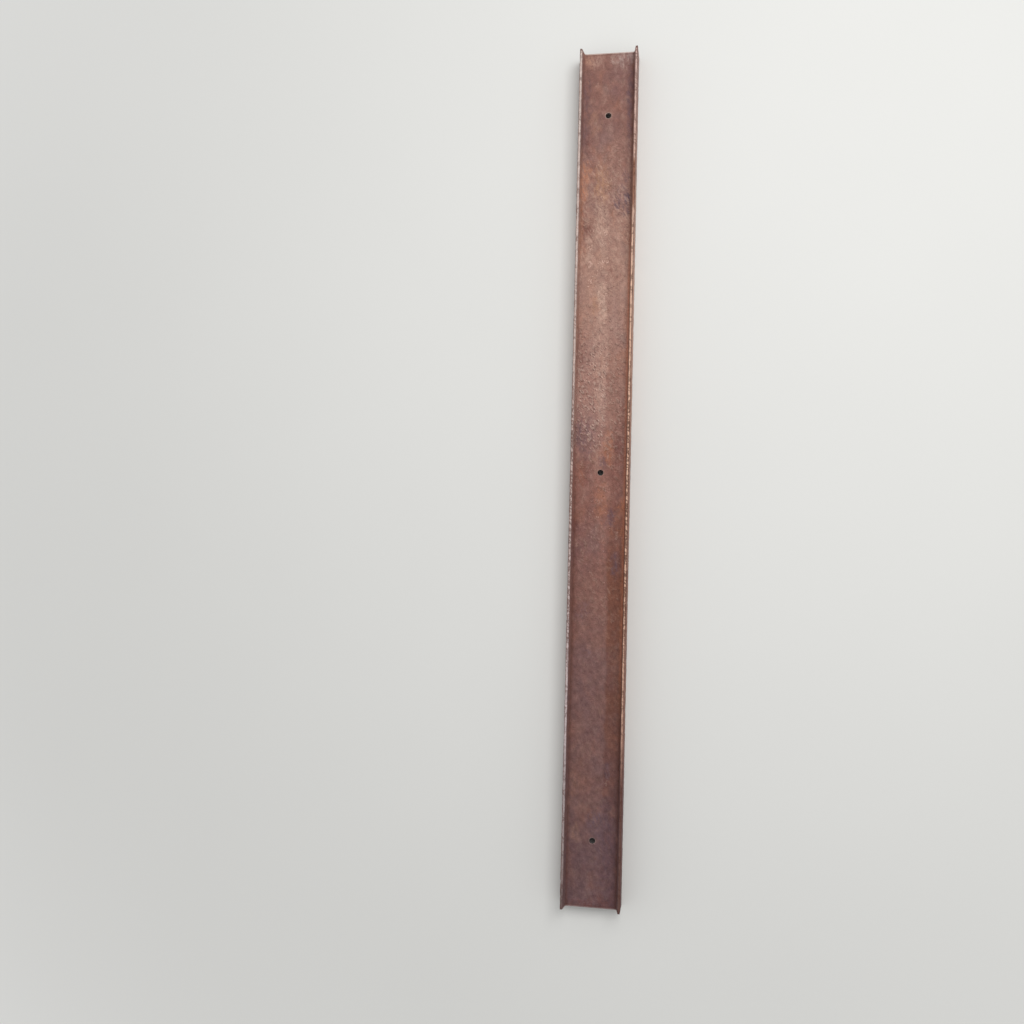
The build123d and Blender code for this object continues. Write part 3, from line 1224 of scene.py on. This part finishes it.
def loose_scale_mesh(sizes, rust):
    chance = random.Random(27)
    face_height = MIDDLE_HEIGHT + sizes.web_thickness / 2
    clear_web = DEPTH / 2 - ROOT_CLEARANCE
    holes = hole_places(sizes)
    points, faces, shades = [], [], []

    def is_clear(x, y, radius):
        on_web = abs(x) < clear_web - radius and abs(y) < LENGTH / 2 - END_CLEARANCE - radius
        clear_hole = HOLE_CLEARANCE * sizes.hole_radius + radius
        return on_web and all(math.hypot(x, y - hole) > clear_hole for hole in holes)

    def web_height(x, y):
        scale_left, _, pit = relief_at(x, y, face_height)
        return face_height - rust.scale_thickness * (1 - scale_left) - rust.pit_depth * pit

    def keep(corners, sides, corner_shades):
        faces.extend(tuple(len(points) + k for k in side) for side in sides)
        points.extend(corners)
        shades.extend(corner_shades)

    for across, along, spread_across, spread_along, share in FLAKY_PLACES:
        for _ in range(round(share * rust.flake_count)):
            x, y = chance.gauss(across, spread_across), chance.gauss(along, spread_along)
            if is_clear(x, y, 0.0):
                corners, sides = flake(chance, x, y, web_height(x, y))
                keep(corners, sides, [FLAKE_SHADE * chance.random()] * len(corners))
    for across, along, spread_across, spread_along, least, most, count in PATCHY_PLACES:
        for _ in range(count):
            x, y = chance.gauss(across, spread_across), chance.gauss(along, spread_along)
            radius = chance.uniform(least, most)
            if not is_clear(x, y, radius):
                continue

            def surface(spot, lift):
                px, py = x + spot.x, y + spot.y
                return Vector((px, py, web_height(px, py) + lift))

            keep(*scale_patch(chance, radius, surface))
    mesh = bpy.data.meshes.new("loose_scale")
    mesh.from_pydata(points, [], faces)
    mesh.attributes.new("shade", "FLOAT", "POINT").data.foreach_set("value", shades)
    return mesh


# The stage

LENS_MM = 36.1
CAMERA_PLACE = (0.2685, -0.2647, 3.1987)
CAMERA_AIM = (-0.2735, -0.1262, 0.0410)
CAMERA_UP = (-0.0184, 0.9987, 0.0469)
KEY_PLACE = (1.3, 1.9, 4.0)
KEY_SIZE = 2.6


def aimed(place, target, up):
    """The transform of a camera or lamp at a place, turned towards a target."""
    place, target = Vector(place), Vector(target)
    back = (place - target).normalized()
    right = Vector(up).cross(back).normalized()
    turn = Matrix((right, back.cross(right), back)).transposed()
    return Matrix.Translation(place) @ turn.to_4x4()


def build_floor(stage):
    half = stage.floor_size / 2
    corners = [(-half, -half, 0.0), (half, -half, 0.0), (half, half, 0.0), (-half, half, 0.0)]
    mesh = bpy.data.meshes.new("floor")
    mesh.from_pydata(corners, [], [(0, 1, 2, 3)])
    mesh.materials.append(floor_material(stage))
    floor = show("floor", mesh)
    floor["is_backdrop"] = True


def build_camera():
    camera = bpy.data.objects.new("camera", bpy.data.cameras.new("camera"))
    camera.data.lens = LENS_MM
    camera.data.sensor_width = 36.0
    camera.matrix_world = aimed(CAMERA_PLACE, CAMERA_AIM, CAMERA_UP)
    bpy.context.scene.collection.objects.link(camera)
    bpy.context.scene.camera = camera


def build_light(stage):
    """One wide soft lamp, and a sky that lights evenly and shows pale behind the floor."""
    lamp = bpy.data.lights.new("soft_key", "AREA")
    lamp.shape = "SQUARE"
    lamp.size = KEY_SIZE
    lamp.energy = stage.key_power
    key = bpy.data.objects.new("soft_key", lamp)
    key.matrix_world = aimed(KEY_PLACE, (0, 0, 0), (0, 1, 0))
    bpy.context.scene.collection.objects.link(key)

    world = bpy.data.worlds.new("studio")
    world.use_nodes = True
    tree = world.node_tree
    tree.nodes.clear()
    even = add_node("ShaderNodeBackground", {"Color": (1, 1, 1), "Strength": stage.sky_strength}, tree)
    seen = add_node("ShaderNodeBackground", {"Color": BACKDROP, "Strength": 1.0}, tree)
    sky = mixed_shader(seen_directly(tree), even.outputs[0], seen.outputs[0])
    add_node("ShaderNodeOutputWorld", {"Surface": sky})
    bpy.context.scene.world = world
    bpy.context.scene.view_settings.view_transform = "Standard"


# Operators

class GIRDER_OT_build_rolled_girder(Operator):
    """Build the rolled girder: its rusted section, its bolt holes and its cut ends"""

    bl_idname = "girder.build_rolled_girder"
    bl_label = "Rolled girder"

    def execute(self, context):
        sizes, rust, _ = settings()
        mesh = weathered_girder_mesh(sizes, rust)
        mesh.materials.append(steel_material(rust))
        girder = show("weathered_girder", mesh)
        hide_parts(GIRDER)
        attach(girder, BODY)
        return {"FINISHED"}


class GIRDER_OT_build_loose_scale(Operator):
    """Build the flakes of scale that cling to the web"""

    bl_idname = "girder.build_loose_scale"
    bl_label = "Loose scale"

    def execute(self, context):
        sizes, rust, _ = settings()
        mesh = loose_scale_mesh(sizes, rust)
        mesh.materials.append(flake_material(rust))
        scale = show("loose_scale", mesh)
        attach(scale, BODY)
        return {"FINISHED"}


class GIRDER_OT_build_stage(Operator):
    """Build the pale floor, the soft light and the camera"""

    bl_idname = "girder.build_stage"
    bl_label = "Stage"

    def execute(self, context):
        stage = settings()[2]
        build_floor(stage)
        build_light(stage)
        build_camera()
        return {"FINISHED"}


OPERATORS = (GIRDER_OT_build_rolled_girder, GIRDER_OT_build_loose_scale, GIRDER_OT_build_stage)


class GIRDER_PT_panel(Panel):
    """The settings and the operators, in the 3D view's sidebar"""

    bl_idname = "GIRDER_PT_panel"
    bl_label = "Rusted Steel Girder"
    bl_space_type = "VIEW_3D"
    bl_region_type = "UI"
    bl_category = "Girder"

    def draw(self, context):
        for group in settings():
            box = self.layout.box()
            for name in group.bl_rna.properties.keys():
                if name not in ("rna_type", "name"):
                    box.prop(group, name)
        for operator in OPERATORS:
            self.layout.operator(operator.bl_idname)


SETTINGS = {"girder_sizes": GirderSizes, "girder_rust": RustSettings, "girder_stage": StageSettings}


def register():
    for kind in (*SETTINGS.values(), *OPERATORS, GIRDER_PT_panel):
        bpy.utils.register_class(kind)
    for name, group in SETTINGS.items():
        setattr(bpy.types.Scene, name, PointerProperty(type=group))


def unregister():
    for name in SETTINGS:
        delattr(bpy.types.Scene, name)
    for kind in reversed((*SETTINGS.values(), *OPERATORS, GIRDER_PT_panel)):
        bpy.utils.unregister_class(kind)


def main():
    register()
    bpy.ops.girder.build_rolled_girder()
    bpy.ops.girder.build_loose_scale()
    bpy.ops.girder.build_stage()
    boxes = {"cad": cad_box, "visual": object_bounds()}
    {name: [list(corner) for corner in box] for name, box in boxes.items()}


if __name__ == "__main__":
    main()
